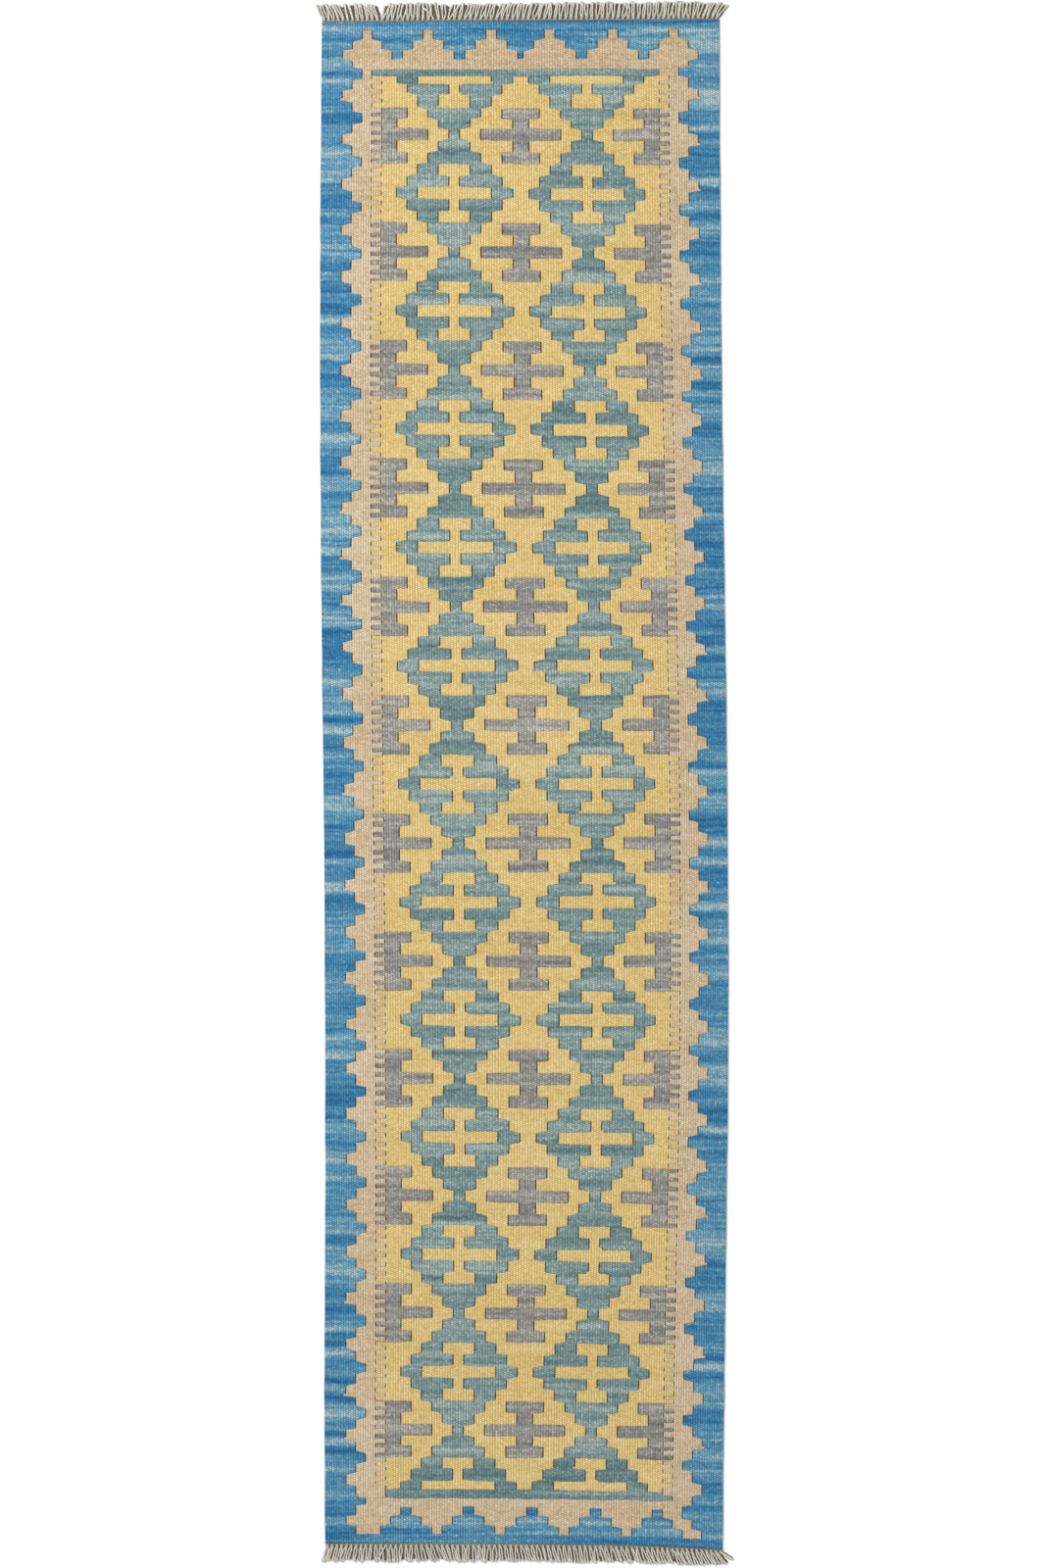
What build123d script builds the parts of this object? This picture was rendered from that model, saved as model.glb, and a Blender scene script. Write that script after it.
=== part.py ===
from build123d import *
from math import pi, sin
import os

# Hand-woven slit-tapestry runner rug with a knotted fringe at both ends.
# Frame: X across the rug, Y along it (far end at +Y), Z up, underside at z = 0.
# All sizes are in millimetres. Places across the rug are counted in ribs: each rib is
# one warp covered with weft, and the outlines step from rib to rib.

# Woven body
rib_count = 156
woven_width = 800.0
thickness = 4.0
slit = 1.0
edge_crowding = 0.0625

# Rows of the far end, counted inwards from the woven end
far_blue_row = 17.8
far_tower_rows = (19.4, 19.6, 21.2)
far_tan_row = 17.8
far_teal_row = 13.7
far_half_rows = (17.1, 21.2, 26.1, 22.7, 19.8)

# Rows of the near end, counted inwards from the woven end
near_blue_row = 17.1
near_tower_rows = (18.0, 20.8, 21.6)
near_tan_row = 12.7
near_teal_row = 17.6
near_half_rows = (18.6, 25.5, 21.6, 22.4, 19.8)

# Field between the half diamonds: a neck row and nine diamond rows, again and again
field_row = 23.56
diamond_count = 11
rows_per_diamond = 10

# Pattern columns, in ribs from the left edge
comb_ribs = {"left": (21, 25), "right": (135, 131)}
far_teal_ribs = (21, 131)
near_teal_ribs = (25, 131)
column_ribs = {"left": 53, "right": 103}
grey_ribs = {"left": 28, "centre": 78, "right": 128}
serration_ribs = (9, 13, 17, 13)

# Half widths in ribs, one for each row
neck_half_width = 2
diamond_half_widths = (6, 10, 14, 18, 22, 18, 14, 10, 6)
half_diamond_half_widths = (22, 18, 14, 10, 6)
cross_half_widths = (6, 2, 14, 2, 6)
half_cross_half_widths = (14, 2, 6)
grey_half_widths = (7, 3, 15, 3, 7)

# Stepped towers of the end borders, from the tip inwards
tower_half_widths = (2, 6, 10)
far_tower_ribs = (19, 43, 67, 89, 113, 137)
near_tower_ribs = (45, 69, 93, 117)
near_corners = {
    "left": ((13, 23), (9, 27), (13, 31)),
    "right": ((139, 147), (135, 143), (131, 139)),
}

# Serrated side borders: distances of the first and last tips from the far end
tip_intervals = 32
first_tip = {"left": 62.2, "right": 56.5}
last_tip = {"left": 3007.7, "right": 3021.2}
tip_drift = {"left": 9.0, "right": 5.4}
drift_overtone = 0.45

# Interlocked teeth between the side borders and the field
tooth_pairs = 152

# Warps, twining, knots and fringe
warp_width = 2.0
warp_height = 1.6
sleeve_wall = 0.8
twining_length = 3.0
twining_height = 3.2
knot_size = (7.6, 4.4, 4.0)
knot_rounding = 1.2
fringe_diameter = 2.8
fringe_length = 32.0
fringe_height = (1.9, 1.5)
fringe_flare = 22.0
fringe_flare_power = 15

half_width = woven_width / 2
half_ribs = rib_count / 2
mid_height = thickness / 2


def rib_x(rib):
    """Position of a rib boundary across the rug. Ribs crowd together near the edges."""
    t = rib / half_ribs - 1
    return half_width * ((1 + edge_crowding) * t - edge_crowding * t**3)


def stack(start, heights):
    """Rows one below the other towards the near end, as (far y, near y)."""
    rows = []
    y = start
    for height in heights:
        rows.append((y, y - height))
        y -= height
    return rows


# ---------------------------------------------------------------- rows along the rug

field_row_count = rows_per_diamond * diamond_count + 1
far_heights = (far_blue_row, *far_tower_rows, far_tan_row, far_teal_row)
near_heights = (near_teal_row, near_tan_row, *near_tower_rows[::-1], near_blue_row)
pattern_heights = (*far_half_rows, *[field_row] * field_row_count, *near_half_rows[::-1])

woven_length = sum(far_heights) + sum(pattern_heights) + sum(near_heights)
half_length = woven_length / 2

far_rows = stack(half_length, far_heights)
pattern_rows = stack(far_rows[-1][1], pattern_heights)
near_rows = stack(pattern_rows[-1][1], near_heights)

far_blue, *far_towers, far_tan, far_teal = far_rows
near_teal, near_tan, *near_towers, near_blue = near_rows
pattern_top = far_teal[1]
pattern_bottom = near_teal[0]
first_neck = len(far_half_rows)

column_half_widths = (
    *half_diamond_half_widths,
    *(neck_half_width, *diamond_half_widths) * diamond_count,
    neck_half_width,
    *half_diamond_half_widths[::-1],
)


# ---------------------------------------------------------------- stepped edges

def clip(edge, top, bottom):
    """The stretch of a stepped edge between two places along the rug."""
    return [
        (min(start, top), max(end, bottom), rib)
        for start, end, rib in edge
        if start > bottom and end < top
    ]


def straight(rib, top, bottom):
    """An edge that follows one rib."""
    return [(top, bottom, rib)]


def stepped(rows, ribs):
    """An edge with one step for each row."""
    return [(top, bottom, rib) for (top, bottom), rib in zip(rows, ribs)]


def around(centre, rows, half_widths):
    """Left and right edges of a shape that is symmetric about one rib."""
    left = stepped(rows, [centre - width for width in half_widths])
    right = stepped(rows, [centre + width for width in half_widths])
    return left, right


def comb_edge(side):
    """Interlocked teeth between a side border and the field."""
    tooth = (pattern_top - pattern_bottom) / (2 * tooth_pairs)
    ribs = comb_ribs[side] * tooth_pairs
    return stepped(stack(pattern_top, [tooth] * len(ribs)), ribs)


def serration_y(side, count):
    """Place along the rug after a count of tips, which drift a little from even spacing."""
    t = 2 * count / tip_intervals - 1
    drift = tip_drift[side] * (sin(pi * t) + drift_overtone * sin(3 * pi * t))
    even = first_tip[side] + (last_tip[side] - first_tip[side]) * count / tip_intervals
    return half_length - even - drift


def serrated_edge(side):
    """The stepped boundary between the blue and the tan side borders."""
    ribs = [rib if side == "left" else rib_count - rib for rib in serration_ribs]
    steps = len(ribs)
    edge = []
    for number in range(-steps, (tip_intervals + 1) * steps):
        top = serration_y(side, (number - 0.5) / steps)
        bottom = serration_y(side, (number + 0.5) / steps)
        edge.append((top, bottom, ribs[number % steps]))
    return edge


# ---------------------------------------------------------------- outlines and blocks

def edge_points(edge, inwards, gap):
    """Corners of a stepped edge, drawn in by a gap. The rug's own edges have no slit."""
    points = []
    for top, bottom, rib in edge:
        on_slit = 0 < rib < rib_count
        x = rib_x(rib) + inwards * (gap if on_slit else gap - slit / 2)
        if points and abs(points[-1][0] - x) < 1e-6:
            points.pop()
        else:
            points.append((x, top))
        points.append((x, bottom))
    return points


def outline(left, right, gap):
    """Flat face between two stepped edges."""
    left_points = edge_points(left, 1, gap)
    right_points = edge_points(right, -1, gap)
    return make_face(Polyline(*left_points, *right_points[::-1], close=True))


def woven(shape):
    """Woven block of one colour, given as a face that depends on how far it is drawn in.

    The weft wraps its warps as a flat sleeve. It turns back at every slit, and it is open
    along the rug, where the warps run on into the next colour.
    """
    room = extrude(shape(slit / 2 + sleeve_wall), warp_height)
    sleeve = extrude(shape(slit / 2), thickness) - Pos(0, 0, mid_height - warp_height / 2) * room
    return sleeve.solid()


def union(faces):
    """Faces that touch, joined into one."""
    joined = faces[0]
    for face in faces[1:]:
        joined = joined + face
    return joined


# ---------------------------------------------------------------- the blue frame

def towers(rows, centres, half_widths):
    """Left and right edges of each stepped tower of an end border."""
    return [around(centre, rows, half_widths) for centre in centres]


def corner_tower(spans):
    """Left and right edges of a lopsided tower at a near corner, given from its tip inwards."""
    starts = [start for start, end in spans[::-1]]
    stops = [end for start, end in spans[::-1]]
    return stepped(near_towers, starts), stepped(near_towers, stops)


far_tower_edges = towers(far_towers, far_tower_ribs, tower_half_widths)
near_tower_edges = towers(near_towers, near_tower_ribs, tower_half_widths[::-1])
near_tower_edges += [corner_tower(spans) for spans in near_corners.values()]


def blue_band(top, bottom, tower_edges, gap):
    """End border: the full width of the rug, cut out around the towers."""
    band = outline(straight(0, top, bottom), straight(rib_count, top, bottom), gap)
    for edges in tower_edges:
        band = band - outline(*edges, -gap)
    return band


def blue_side(side, gap):
    """Side border from the rug's edge to the serration."""
    top = far_towers[-1][1]
    bottom = near_towers[0][0]
    serration = clip(serrated_edge(side), top, bottom)
    if side == "left":
        return outline(straight(0, top, bottom), serration, gap)
    return outline(serration, straight(rib_count, top, bottom), gap)


# ---------------------------------------------------------------- the tan frame

def tan_band(row, tower_edges, gap):
    """End border: one straight row with the towers standing on it."""
    left = clip(serrated_edge("left"), *row)
    right = clip(serrated_edge("right"), *row)
    return union([outline(*edges, gap) for edges in [(left, right), *tower_edges]])


def tan_side(side, gap):
    """Side border between the serration and the teeth of the comb."""
    position = 0 if side == "left" else 1
    outer = clip(serrated_edge(side), far_teal[0], near_teal[1])
    inner = (
        straight(far_teal_ribs[position], *far_teal)
        + comb_edge(side)
        + straight(near_teal_ribs[position], *near_teal)
    )
    edges = (outer, inner) if side == "left" else (inner, outer)
    return outline(*edges, gap)


# ---------------------------------------------------------------- teal bars and diamonds

def teal_bar(ribs, row, gap):
    """Straight bar across one end of the field."""
    return outline(straight(ribs[0], *row), straight(ribs[1], *row), gap)


def diamond_rows(number):
    """Rows of one diamond, with half a neck row at each end."""
    neck = first_neck + rows_per_diamond * number
    rows = pattern_rows[neck : neck + rows_per_diamond + 1]
    rows[0] = (sum(rows[0]) / 2, rows[0][1])
    rows[-1] = (rows[-1][0], sum(rows[-1]) / 2)
    return rows


def cross(side, number, gap):
    """The cross inside a diamond."""
    rows = diamond_rows(number)[3:8]
    return outline(*around(column_ribs[side], rows, cross_half_widths), gap)


def diamond(side, number, gap):
    """Stepped diamond with a cross-shaped opening."""
    widths = (neck_half_width, *diamond_half_widths, neck_half_width)
    steps = outline(*around(column_ribs[side], diamond_rows(number), widths), gap)
    return steps - cross(side, number, -gap)


def half_diamond_rows(end):
    """Rows of the half diamond at one end, from the teal bar to the middle of the neck."""
    if end == "far":
        rows = pattern_rows[: first_neck + 1]
        return rows[:-1] + [(rows[-1][0], sum(rows[-1]) / 2)]
    rows = pattern_rows[-first_neck - 1 :][::-1]
    return rows[:-1] + [(sum(rows[-1]) / 2, rows[-1][1])]


def half_shape(side, end, half_widths, gap):
    """Stepped shape that stands on a teal bar and points to the middle of the rug."""
    edges = around(column_ribs[side], half_diamond_rows(end), half_widths)
    if end == "near":
        edges = [edge[::-1] for edge in edges]
    return outline(*edges, gap)


def half_cross(side, end, gap):
    """The part of a cross inside a half diamond."""
    return half_shape(side, end, half_cross_half_widths, gap)


def half_diamond(side, end, gap):
    """Half of a diamond, cut off by the teal bar."""
    widths = (*half_diamond_half_widths, neck_half_width)
    return half_shape(side, end, widths, gap) - half_cross(side, end, -gap)


# ---------------------------------------------------------------- yellow and grey

def grey_rows(number):
    """The five rows of a grey cross, centred on a neck."""
    neck = first_neck + rows_per_diamond * number
    return pattern_rows[neck - 2 : neck + 3]


def grey_edges(place, number):
    """Left and right edges of a grey cross. The outer crosses run into the comb."""
    rows = grey_rows(number)
    left, right = around(grey_ribs[place], rows, grey_half_widths)
    if place == "left":
        left = clip(comb_edge("left"), rows[0][0], rows[-1][1])
    if place == "right":
        right = clip(comb_edge("right"), rows[0][0], rows[-1][1])
    return left, right


def grey_cross(place, number, gap):
    """One grey cross."""
    return outline(*grey_edges(place, number), gap)


def yellow_comb_side(side):
    """Edge of the yellow ground along a comb, stepping in around the grey crosses."""
    edge = []
    top = pattern_top
    for number in range(diamond_count + 1):
        left, right = grey_edges(side, number)
        rows = grey_rows(number)
        edge += clip(comb_edge(side), top, rows[0][0])
        edge += right if side == "left" else left
        top = rows[-1][1]
    return edge + clip(comb_edge(side), top, pattern_bottom)


def yellow_ground(place, gap):
    """Ground between the diamond columns, or between a column and the comb."""
    left_column = around(column_ribs["left"], pattern_rows, column_half_widths)
    right_column = around(column_ribs["right"], pattern_rows, column_half_widths)
    if place == "left":
        return outline(yellow_comb_side("left"), left_column[0], gap)
    if place == "right":
        return outline(right_column[1], yellow_comb_side("right"), gap)
    ground = outline(left_column[1], right_column[0], gap)
    for number in range(diamond_count + 1):
        ground = ground - grey_cross("centre", number, -gap)
    return ground


# ---------------------------------------------------------------- warps, knots, fringe

warp_reach = half_length + twining_length


def warp(rib):
    """Straight cord along the whole rug at mid thickness."""
    return Pos(rib_x(rib + 0.5), 0, mid_height) * Box(warp_width, 2 * warp_reach, warp_height)


def twining(end):
    """Line of twining around the warps, which locks the last weft."""
    line = Box(woven_width, twining_length, twining_height)
    room = Box(woven_width - 2 * sleeve_wall, twining_length, warp_height)
    return Pos(0, end * (half_length + twining_length / 2), mid_height) * (line - room)


def knots(end):
    """One knot for each pair of warps."""
    y = end * (warp_reach + knot_size[1] / 2)
    knot = Box(*knot_size)
    knot = fillet(knot.edges().filter_by(Axis.X), knot_rounding)
    return [Pos(rib_x(rib), y, mid_height) * knot for rib in range(1, rib_count, 2)]


def fringe_cord(rib, end):
    """Free cord of one warp. The cords at the corners lean outwards."""
    x = rib_x(rib + 0.5)
    t = x / half_width
    lean = fringe_flare * abs(t) ** fringe_flare_power * (1 if t > 0 else -1)
    base = warp_reach + knot_size[1]
    start = Vector(x, end * base, fringe_height[0])
    tip = Vector(x + lean, end * (base + fringe_length), fringe_height[1])
    section = Plane(origin=start, z_dir=(0, end, 0)) * Circle(fringe_diameter / 2)
    return extrude(section, (tip - start).length, tip - start)


# ---------------------------------------------------------------- the sub-parts

ends = {"far": 1, "near": -1}
diamonds = range(diamond_count)
necks = range(diamond_count + 1)
parts = {
    "blue_band_far": woven(lambda gap: blue_band(half_length, far_tan[0], far_tower_edges, gap)),
    "blue_band_near": woven(lambda gap: blue_band(near_tan[1], -half_length, near_tower_edges, gap)),
    "tan_band_far": woven(lambda gap: tan_band(far_tan, far_tower_edges, gap)),
    "tan_band_near": woven(lambda gap: tan_band(near_tan, near_tower_edges, gap)),
    "teal_bar_far": woven(lambda gap: teal_bar(far_teal_ribs, far_teal, gap)),
    "teal_bar_near": woven(lambda gap: teal_bar(near_teal_ribs, near_teal, gap)),
    "warps": Compound([warp(rib) for rib in range(rib_count)]),
}
for side in column_ribs:
    parts[f"blue_border_{side}"] = woven(lambda gap: blue_side(side, gap))
    parts[f"tan_border_{side}"] = woven(lambda gap: tan_side(side, gap))
    crosses = [woven(lambda gap: cross(side, number, gap)) for number in diamonds]
    for end in ends:
        parts[f"teal_half_diamond_{side}_{end}"] = woven(lambda gap: half_diamond(side, end, gap))
        crosses.append(woven(lambda gap: half_cross(side, end, gap)))
    for number in diamonds:
        parts[f"teal_diamond_{side}_{number + 1:02d}"] = woven(lambda gap: diamond(side, number, gap))
    parts[f"yellow_crosses_{side}"] = Compound(crosses)
for place in grey_ribs:
    parts[f"yellow_ground_{place}"] = woven(lambda gap: yellow_ground(place, gap))
    crosses = [woven(lambda gap: grey_cross(place, number, gap)) for number in necks]
    parts[f"grey_crosses_{place}"] = Compound(crosses)
for end, direction in ends.items():
    cords = [fringe_cord(rib, direction) for rib in range(rib_count)]
    parts[f"twining_{end}"] = twining(direction)
    parts[f"knots_{end}"] = Compound([knot.solid() for knot in knots(direction)])
    parts[f"fringe_{end}"] = Compound([cord.solid() for cord in cords])

os.makedirs("parts", exist_ok=True)
for name, shape in parts.items():
    shape.label = name
    export_step(shape, f"parts/{name}.step", write_pcurves=False)
print(f"{len(parts)} sub-parts, woven body {woven_width:.0f} x {woven_length:.0f} mm")
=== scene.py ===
import math

import bpy
import mathutils
import numpy as np
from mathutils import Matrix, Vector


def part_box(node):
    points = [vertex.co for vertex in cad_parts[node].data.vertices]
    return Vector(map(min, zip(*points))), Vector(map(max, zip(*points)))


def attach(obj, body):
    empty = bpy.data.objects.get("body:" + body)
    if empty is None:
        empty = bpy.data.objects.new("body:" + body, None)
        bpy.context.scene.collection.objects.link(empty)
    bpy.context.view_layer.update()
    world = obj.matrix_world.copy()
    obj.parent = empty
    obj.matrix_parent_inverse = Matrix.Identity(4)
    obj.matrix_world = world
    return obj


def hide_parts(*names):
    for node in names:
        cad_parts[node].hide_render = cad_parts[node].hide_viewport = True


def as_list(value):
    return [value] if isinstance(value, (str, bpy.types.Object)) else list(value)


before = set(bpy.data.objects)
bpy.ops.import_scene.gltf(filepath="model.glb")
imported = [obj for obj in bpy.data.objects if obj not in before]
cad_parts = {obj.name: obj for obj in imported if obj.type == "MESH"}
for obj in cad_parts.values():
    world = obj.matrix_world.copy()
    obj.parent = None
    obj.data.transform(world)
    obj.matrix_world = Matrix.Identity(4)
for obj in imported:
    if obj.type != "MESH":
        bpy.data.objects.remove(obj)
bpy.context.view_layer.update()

# Hand-woven slit-tapestry runner rug, in metres. Each block of one colour of weft is its own
# mesh: round ribs over the warps, with a bead of yarn for every pass, and a slit wherever two
# colours meet along a warp. Places across the rug are counted in ribs, and places along it in
# half beads ("lines") from the far end.

MM = 0.001

# ---------------------------------------------------------------- driving dimensions

rib_count = 156
edge_crowding = 0.0625
half_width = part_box("blue_band_far")[1][0]
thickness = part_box("blue_band_far")[1][2]
far_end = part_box("blue_band_far")[1][1]
near_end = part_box("blue_band_near")[0][1]
woven_length = far_end - near_end

# Rows of the pattern in millimetres, one after the other from the far end: the end border, the
# half diamonds, the field and the same again at the near end. The field's rows are alike
far_rows = [17.8, 19.4, 19.6, 21.2, 17.8, 13.7]
far_half_rows = [17.1, 21.2, 26.1, 22.7, 19.8]
near_half_rows = [19.8, 22.4, 21.6, 25.5, 18.6]
near_rows = [17.6, 12.7, 21.6, 20.8, 18.0, 17.1]
field_row = 23.56
lines_per_row = 12
diamond_count = 11
rows_per_diamond = 10

# Steps of the serrated side borders, in ribs, and their places in millimetres from the far end
serration_ribs = (9, 13, 17, 13)
tip_intervals = 32
first_tip = {"left": 62.2, "right": 56.5}
last_tip = {"left": 3007.7, "right": 3021.2}
tip_drift = {"left": 9.0, "right": 5.4}
drift_overtone = 0.45
tooth_pairs = 152
comb_ribs = {"left": (21, 25), "right": (131, 135)}

# Half widths of the shapes in ribs, one for each row, and the ribs of their middles
diamond_half_widths = [6, 10, 14, 18, 22, 18, 14, 10, 6]
half_diamond_half_widths = [22, 18, 14, 10, 6]
cross_half_widths = [6, 2, 14, 2, 6]
half_cross_half_widths = [14, 2, 6]
grey_half_widths = [7, 3, 15, 3, 7]
tower_half_widths = [2, 6, 10]
column_ribs = {"left": 53, "right": 103}
grey_ribs = {"left": 28, "centre": 78, "right": 128}
far_tower_ribs = [19, 43, 67, 89, 113, 137]
near_tower_ribs = [45, 69, 93, 117]
near_left_corner = [(13, 31), (9, 27), (13, 23)]
near_right_corner = [(131, 139), (135, 143), (139, 147)]

# Heights of the weave above the floor
crest = 3.95 * MM
valley = 3.0 * MM
shoulder_drop = 0.3 * MM
groove = 2.8 * MM
slit_edge = 1.7 * MM
under_groove = 1.1 * MM

# Slits: how far the weft draws back on each side, and how far it pulls in a slit's ends
slit_opening = (1.1 * MM, 2.5 * MM)
step_pull = (1.2 * MM, 3.2 * MM)
cross_pull = (0.0 * MM, 1.3 * MM)
long_slit = 11
slit_draw_reach = (2, 4)

# The tips of the towers are held by the end bands, so that less of the pull shows there
tip_pull_share = 0.15
turn_wobble = 0.3 * MM

# Unevenness of single beads: in height, along the rug, and of a rib's edge
bead_unevenness = 0.2 * MM
bead_slip = 0.4 * MM
edge_slip = 0.3 * MM

# Share of the corners where a pass pokes out of its block
poke_share = 0.2
tip_poke_share = 0.6
poke_lines = 2

# Stretches of the long borders and grounds, each a mesh of its own, and how far a cut may move
stretches = 6
search = 26

# Cells in a lattice of noise, enough for the longest run over the ribs and over the lines
lattice_size = (180, 1000)

line_count = round(woven_length / (field_row * MM) * lines_per_row)
line_length = woven_length / line_count


# ---------------------------------------------------------------- seeded noise

lattices = {}


def lattice_noise(seed, u, v):
    """Smooth noise from -1 to 1 over two coordinates, one cell of the lattice per unit.

    The lattice of a seed is always the same, so pieces that meet get the same noise there.
    """
    if seed not in lattices:
        lattices[seed] = np.random.default_rng(seed).uniform(-1, 1, lattice_size)
    grid = lattices[seed]
    u, v = np.broadcast_arrays(np.asarray(u, float), np.asarray(v, float))
    iu, iv = np.floor(u).astype(int), np.floor(v).astype(int)
    fu, fv = u - iu, v - iv
    fu, fv = fu * fu * (3 - 2 * fu), fv * fv * (3 - 2 * fv)
    low = grid[iu, iv] * (1 - fu) + grid[iu + 1, iv] * fu
    high = grid[iu, iv + 1] * (1 - fu) + grid[iu + 1, iv + 1] * fu
    return low * (1 - fv) + high * fv


# ---------------------------------------------------------------- the woven pattern

def line_at(distance):
    """Nearest line to a distance in millimetres from the far end."""
    return int(round(distance * MM / line_length))


def row_lines(start, heights):
    """First and last line of each row, for rows that follow each other."""
    ends = start + np.cumsum([0.0, *heights])
    return [(line_at(a), line_at(b)) for a, b in zip(ends[:-1], ends[1:])]


field_heights = [field_row] * (rows_per_diamond * diamond_count + 1)
pattern_heights = [*far_half_rows, *field_heights, *near_half_rows]
pattern_start = sum(far_rows)
pattern_end = pattern_start + sum(pattern_heights)
far_lines = row_lines(0, far_rows)
pattern_lines = row_lines(pattern_start, pattern_heights)
near_lines = row_lines(pattern_end, near_rows)
near_lines[-1] = (near_lines[-1][0], line_count)
first_neck = len(far_half_rows)

owner = np.full((rib_count, line_count), -1)
names = []


odd = np.random.default_rng(9)


def paint(name, rows):
    """Gives cells to a piece. rows is a list of (first line, last line, first rib, last rib)."""
    if name not in names:
        names.append(name)
    for top, bottom, left, right in rows:
        owner[left:right, top:bottom] = names.index(name)


def with_pokes(rows):
    """Rows of a shape, with a short pass poking out one rib at the foot of some of them."""
    for top, bottom, left, right in rows:
        reach_left, reach_right = odd.random(2) < poke_share
        yield top, bottom - poke_lines, left, right
        yield bottom - poke_lines, bottom, left - reach_left, right + reach_right


def around(lines, centre, half_widths):
    """Rows of a shape that is symmetric about one rib."""
    return [(a, b, centre - w, centre + w) for (a, b), w in zip(lines, half_widths)]


def in_stretches(name, left, right, cuts):
    """Paints a long block as several stretches."""
    for number, (a, b) in enumerate(zip(cuts[:-1], cuts[1:])):
        paint(f"{name}_{number + 1}", [(a, b, left, right)])


def narrow_cuts(width, top, bottom):
    """Where to cut a border into stretches: the middle of a narrow place near each even cut."""
    cuts = [top]
    for even in np.linspace(top, bottom, stretches + 1)[1:-1]:
        near = np.arange(int(even) - search, int(even) + search)
        narrow = near[width[near] == width[near].min()]
        run = narrow[narrow < narrow[0] + search // 2]
        cuts.append(int(run.mean()))
    return [*cuts, bottom]


def serration(side):
    """Rib of the stepped edge between blue and tan at each line."""
    def distance(count):
        t = 2 * count / tip_intervals - 1
        drift = tip_drift[side] * (math.sin(math.pi * t) + drift_overtone * math.sin(3 * math.pi * t))
        even = first_tip[side] + (last_tip[side] - first_tip[side]) * count / tip_intervals
        return even + drift

    steps = len(serration_ribs)
    ribs = np.full(line_count, serration_ribs[0])
    for number in range(-steps, (tip_intervals + 1) * steps):
        top = line_at(distance((number - 0.5) / steps))
        bottom = line_at(distance((number + 0.5) / steps))
        ribs[max(top, 0):max(bottom, 0)] = serration_ribs[number % steps]
        if number % steps == 0 and bottom > poke_lines and odd.random() < tip_poke_share:
            ribs[bottom - poke_lines:bottom] -= 1
    return ribs if side == "left" else rib_count - ribs


def teeth():
    """First and last line of every tooth of the comb, and whether it belongs to the border."""
    edges = np.linspace(pattern_start, pattern_end, 2 * tooth_pairs + 1)
    spans = [(line_at(a), line_at(b)) for a, b in zip(edges[:-1], edges[1:])]
    return [(a, b, number % 2 == 1) for number, (a, b) in enumerate(spans)]


side_top, side_bottom = far_lines[4][0], near_lines[1][1]
field_top, field_bottom = pattern_lines[0][0], pattern_lines[-1][1]
left_edge, right_edge = serration("left"), serration("right")

# Blue frame
paint("blue_band_far", [(0, side_top, 0, rib_count)])
comb_left, comb_right = comb_ribs["left"][0], comb_ribs["right"][1]
in_stretches("blue_border_left", 0, comb_left, narrow_cuts(left_edge, side_top, side_bottom))
right_cuts = narrow_cuts(-right_edge, side_top, side_bottom)
in_stretches("blue_border_right", comb_right, rib_count, right_cuts)
paint("blue_band_near", [(side_bottom, line_count, 0, rib_count)])

# Yellow ground, with its teeth in the combs. It is cut where the diamonds are widest
widest = [pattern_lines[first_neck + rows_per_diamond * n + 5] for n in range(1, diamond_count, 2)]
cuts = [field_top, *[sum(lines) // 2 for lines in widest], field_bottom]
in_stretches("yellow_ground_left", comb_left, column_ribs["left"], cuts)
in_stretches("yellow_ground_centre", *column_ribs.values(), cuts)
in_stretches("yellow_ground_right", column_ribs["right"], comb_right, cuts)

# Grey crosses. The outer ones fill the teeth of the combs
for number in range(diamond_count + 1):
    neck = first_neck + rows_per_diamond * number
    lines = pattern_lines[neck - 2:neck + 3]
    top, bottom = lines[0][0], lines[-1][1]
    for place, centre in grey_ribs.items():
        rows = around(lines, centre, grey_half_widths)
        if place == "left":
            rows = [(a, b, comb_left, right) for a, b, left, right in rows]
        if place == "right":
            rows = [(a, b, left, comb_right) for a, b, left, right in rows]
        paint(f"grey_cross_{place}_{number + 1:02d}", rows)

# Teal diamonds with their yellow crosses
for side, centre in column_ribs.items():
    for end in ("far", "near"):
        lines = pattern_lines[:first_neck] if end == "far" else pattern_lines[:-first_neck - 1:-1]
        neck = pattern_lines[first_neck] if end == "far" else pattern_lines[-first_neck - 1]
        middle = sum(neck) // 2
        half_neck = (neck[0], middle) if end == "far" else (middle, neck[1])
        lines = [*lines, half_neck]
        widths = [*half_diamond_half_widths, 2]
        paint(f"teal_half_diamond_{side}_{end}", around(lines, centre, widths))
        cross = around(lines, centre, half_cross_half_widths)
        paint(f"yellow_half_cross_{side}_{end}", with_pokes(cross))
    for number in range(diamond_count):
        neck = first_neck + rows_per_diamond * number
        lines = pattern_lines[neck:neck + rows_per_diamond + 1]
        lines[0] = (sum(lines[0]) // 2, lines[0][1])
        lines[-1] = (lines[-1][0], sum(lines[-1]) // 2)
        widths = [2, *diamond_half_widths, 2]
        paint(f"teal_diamond_{side}_{number + 1:02d}", around(lines, centre, widths))
        cross = around(lines[3:8], centre, cross_half_widths)
        paint(f"yellow_cross_{side}_{number + 1:02d}", with_pokes(cross))

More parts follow.
